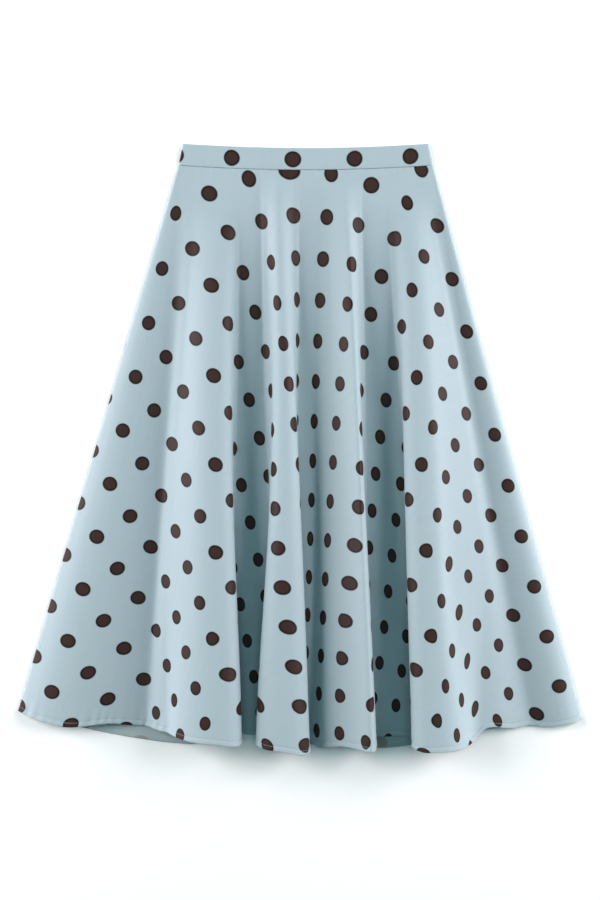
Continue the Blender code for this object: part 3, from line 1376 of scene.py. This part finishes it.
@dataclass
class Stitching:
    """A row of machine stitches lying on a cloth."""

    wardrobe: Wardrobe
    spacing: float = 3.0
    length: float = 2.2
    radius: float = 0.2
    sides: int = 6
    lift: float = 0.7

    def build(self, name: str, line: np.ndarray, outward: np.ndarray) -> Piece:
        """Small rounded stitches along a line.

        Args:
            name: The piece's name.
            line: Points on the cloth's surface, in mm.
            outward: The surface's normal at each point.

        Returns:
            One joined mesh.
        """
        run = run_along(line)
        middles = np.arange(self.spacing, run[-1] - self.spacing, self.spacing)
        points, faces = [], []
        # Each ring: share of the half length, share of the radius, sink into the cloth
        rings = ((-1.0, 0.15, 1.0), (-0.8, 0.8, 0.7), (0.0, 1.0, 0.0), (0.8, 0.8, 0.7), (1.0, 0.15, 1.0))
        for middle in middles:
            spots = middle + np.array([ring[0] for ring in rings]) * self.length / 2
            at = np.stack([np.interp(spots, run, line[:, n]) for n in range(3)], axis=1)
            up = np.stack([np.interp(spots, run, outward[:, n]) for n in range(3)], axis=1)
            up /= np.linalg.norm(up, axis=1, keepdims=True)
            ahead = (at[-1] - at[0]) / np.linalg.norm(at[-1] - at[0])
            first = len(points)
            for spot, normal, (_, wide, sink) in zip(at, up, rings):
                aside = np.cross(normal, ahead)
                centre = spot + normal * self.radius * (self.lift - sink)
                for turn in ring_turns(self.sides):
                    out = aside * math.cos(turn) + normal * math.sin(turn)
                    points.append(centre + out * self.radius * wide)
            faces += tube_faces(first, len(rings), self.sides)
        thread = self.wardrobe.get("thread", CoreSpunThread().build)
        return add_piece(name, np.array(points), faces, thread)


@dataclass
class ConcealedZip:
    """The closed zip in the side seam at the viewer's right, under the front's edge."""

    layout: Layout
    wardrobe: Wardrobe
    coil_width: float = 2.2
    coil_thickness: float = 1.2
    tooth_spacing: float = 1.5
    tooth_reach: float = 0.58
    tooth_sides: int = 8
    slider_thickness: float = 1.7
    slider_sides: int = 12
    body_bottom: float = 18.0
    pull_share: float = 0.62

    def coil_sides(self) -> tuple[float, float]:
        """How far in from the seam the coil's two sides lie."""
        inner = self.layout.zip_lap - self.layout.seam_gap
        return inner, inner - self.coil_width

    def beside_seam(self, inward: float, down: float) -> np.ndarray:
        """A place beside the right side seam, at a share of the way down."""
        x = self.layout.seams(down)[1] - inward
        return np.array([x, self.layout.row_y(x, down), 0.0])

    def teeth(self) -> Piece:
        """Two rows of hooked coil loops, meeting in the middle.

        Returns:
            One joined mesh.
        """
        inner, outer = self.coil_sides()
        points, faces = [], []
        count = int(self.layout.zip_length / self.tooth_spacing)
        half = self.coil_thickness / 2
        for tooth in range(count):
            for row in (0, 1):
                along = (tooth + 0.5 * row + 0.25) * self.tooth_spacing
                down = along / self.layout.panel_length
                root, tip = (outer, inner) if row else (inner, outer)
                start = self.beside_seam(root, down)
                end = self.beside_seam(lerp(root, tip, self.tooth_reach), down)
                first = len(points)
                rings = ((0.0, 0.55), (0.25, 0.85), (0.7, 1.0), (0.95, 0.8), (1.0, 0.3))
                for share, size in rings:
                    middle = lerp(start, end, share)
                    for turn in ring_turns(self.tooth_sides):
                        wide = 0.33 * self.tooth_spacing * size * math.cos(turn)
                        points.append(middle + np.array([0.0, wide, half + half * size * math.sin(turn)]))
                faces += tube_faces(first, len(rings), self.tooth_sides)
        coil = self.wardrobe.get("coil", NylonCoil().build)
        return add_piece("zip_teeth", np.array(points), faces, coil)

    def slider(self) -> Piece:
        """The slider's body with the drop-shaped pull that hangs from it.

        Returns:
            One joined mesh.
        """
        inner, outer = self.coil_sides()
        # Height above the seam and share of the width, down the slider and its pull
        form = (
            (25.0, 0.82), (24.2, 0.98), (19.3, 0.98), (18.5, 0.8), (17.5, 0.42), (12.5, 0.42),
            (9.5, 0.92), (6.0, 1.0), (3.0, 0.96), (1.2, 0.7), (0.5, 0.2),
        )
        layout = self.layout
        points = []
        for up, wide in form:
            _, end = layout.band_ends((layout.seam_gap + up) / (layout.seam_gap + layout.band_height))
            body = 1.0 if up > self.body_bottom else self.pull_share
            for turn in ring_turns(self.slider_sides):
                x = end - lerp(outer, inner, 0.5 + 0.5 * wide * math.cos(turn))
                y = layout.waist_y(x) + layout.seam_gap + up
                z = self.slider_thickness * (0.5 + 0.5 * body * math.sin(turn))
                points.append((x, y, z))
        faces = tube_faces(0, len(form), self.slider_sides)
        enamel = self.wardrobe.get("slider", EnamelledZinc().build)
        return add_piece("zip_slider_and_pull", np.array(points), faces, enamel)


@dataclass
class Studio:
    """Pale table, soft light from both sides and a camera straight above."""

    pixel: float = 1.32
    image_height: int = 900
    camera_height: float = 2300.0
    sensor: float = 36.0
    # Where the camera looks, in the layout's own millimetres
    aim: tuple[float, float] = (1.36, -1.34)
    side_power: float = 131.0
    side_colour: tuple[float, float, float] = (1.0, 0.90, 0.92)
    side_size: tuple[float, float] = (1.5, 2.4)
    side_distance: float = 2.3
    side_height: float = 0.75
    side_shift: float = 0.5
    top_power: float = 17.0
    top_colour: tuple[float, float, float] = (0.7, 1.0, 1.05)
    top_size: tuple[float, float] = (2.0, 2.0)
    top_place: tuple[float, float, float] = (0.0, 0.3, 3.2)
    room_colour: Colour = (0.4, 1.0, 1.1, 1.0)
    room_strength: float = 0.08
    table_reach: float = 8.0
    table_gap: float = 0.0004

    def add_camera(self) -> None:
        """The camera, looking straight down with the waist at the top."""
        data = bpy.data.cameras.new("camera")
        data.sensor_width = self.sensor
        data.lens = self.sensor * self.camera_height / (self.pixel * self.image_height)
        data.clip_start = 0.05
        data.clip_end = 50.0
        camera = add_object("camera", data)
        aim = (np.array([*self.aim, self.camera_height]) - Layout().middle()) * MM
        camera.location = aim.tolist()
        bpy.context.scene.camera = camera

    def add_light(
        self, name: str, place: Vector, size: tuple[float, float], power: float,
        colour: tuple[float, float, float],
    ) -> None:
        """A soft rectangular light that faces the middle of the table.

        Args:
            name: The light's name.
            place: Its place, in metres.
            size: Its width and length, in metres.
            power: Its power, in watts.
            colour: Its linear colour.
        """
        data = bpy.data.lights.new(name, "AREA")
        data.shape = "RECTANGLE"
        data.size, data.size_y = size
        data.energy = power
        data.color = colour
        light = add_object(name, data)
        light.location = place
        light.rotation_mode = "QUATERNION"
        light.rotation_quaternion = (-place).to_track_quat("-Z", "Y")

    def add_floor(self) -> None:
        """The table top, matt and nearly white."""
        mesh = bpy.data.meshes.new("table_top")
        corners = [
            (across * self.table_reach, along * self.table_reach, -self.table_gap)
            for across, along in ((-1.0, -1.0), (1.0, -1.0), (1.0, 1.0), (-1.0, 1.0))
        ]
        mesh.from_pydata(corners, [], [(0, 1, 2, 3)])
        mesh.materials.append(WhiteLaminate().build())
        floor = add_object("table_top", mesh)

    def build(self) -> None:
        """Camera, lights, table and surroundings."""
        self.add_camera()
        self.add_floor()
        for name, side in (("left softbox", -1.0), ("right softbox", 1.0)):
            place = Vector((side * self.side_distance, self.side_shift, self.side_height))
            self.add_light(name, place, self.side_size, self.side_power, self.side_colour)
        self.add_light(
            "top softbox", Vector(self.top_place), self.top_size, self.top_power, self.top_colour
        )
        world = bpy.data.worlds.new("studio")
        world.use_nodes = True
        background = world.node_tree.nodes["Background"]
        background.inputs["Color"].default_value = self.room_colour
        background.inputs["Strength"].default_value = self.room_strength
        bpy.context.scene.world = world
        bpy.context.scene.view_settings.view_transform = "Standard"


@dataclass
class Skirt:
    """The whole garment."""

    layout: Layout = field(default_factory=Layout)
    cut: Cut = field(default_factory=Cut)
    wardrobe: Wardrobe = field(default_factory=Wardrobe)
    band_length: float = 337.0
    # The back's middle line with its arc, as a share of a panel's length
    back_reach: float = 1.04

    def dress(self, piece: Piece, slot: str, *nodes: str) -> Piece:
        """Place a piece on its body and let it stand for its solids.

        Args:
            piece: The piece.
            slot: Material slot of its solids. It is not used.
            nodes: Names of the solids that it stands for.

        Returns:
            The same piece.
        """
        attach(piece, ROOT)
        if nodes:
            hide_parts(*nodes)
        LOG.info("%s: %d faces", piece.name, len(piece.data.polygons))
        return piece

    def hem_stitches(self, panel: FrontPanel) -> Piece:
        """The stitch line that holds the front's hem.

        Args:
            panel: The front, after its build.

        Returns:
            The row of stitches.
        """
        rows = panel.rows()
        above = (1.0 - rows) * self.layout.panel_length
        row = int(np.argmin(np.abs(above - HEM_FOLD)))
        normals = normals_of(panel.surface)[row]
        line = panel.surface[row] + normals * panel.wall / 2
        return Stitching(self.wardrobe).build("front_hem_stitches", line, normals)

    def build(self) -> None:
        """Make every piece."""
        front = FrontPanel(self.layout, self.cut, self.wardrobe)
        front_cloth = self.dress(front.build(), "dotted_cloth", "skirt_front")
        stitches = self.dress(self.hem_stitches(front), "dotted_cloth")
        back_cloth = self.dress(
            BackPanel(self.layout, self.cut, self.wardrobe).build(), "dotted_cloth", "skirt_back"
        )
        front_band = self.dress(
            Waistband(self.layout, self.wardrobe, "front_band", 2.1, 0.0, True).build(),
            "band_cloth", "waistband_front",
        )
        back_band = self.dress(
            Waistband(self.layout, self.wardrobe, "back_band", 0.0, self.layout.zip_lap, False).build(),
            "band_cloth", "waistband_back",
        )
        zipper = ConcealedZip(self.layout, self.wardrobe)
        self.dress(zipper.teeth(), "zip_coil", "zip_coil")
        self.dress(zipper.slider(), "zip_slider", "zip_slider")
        self.cut.box()
        self.cut.area()


def main() -> None:
    """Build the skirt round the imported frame."""
    logging.basicConfig(level=logging.INFO, format="%(message)s")
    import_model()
    Studio().build()
    Skirt().build()
    bpy.context.view_layer.update()


if __name__ == "__main__":
    main()
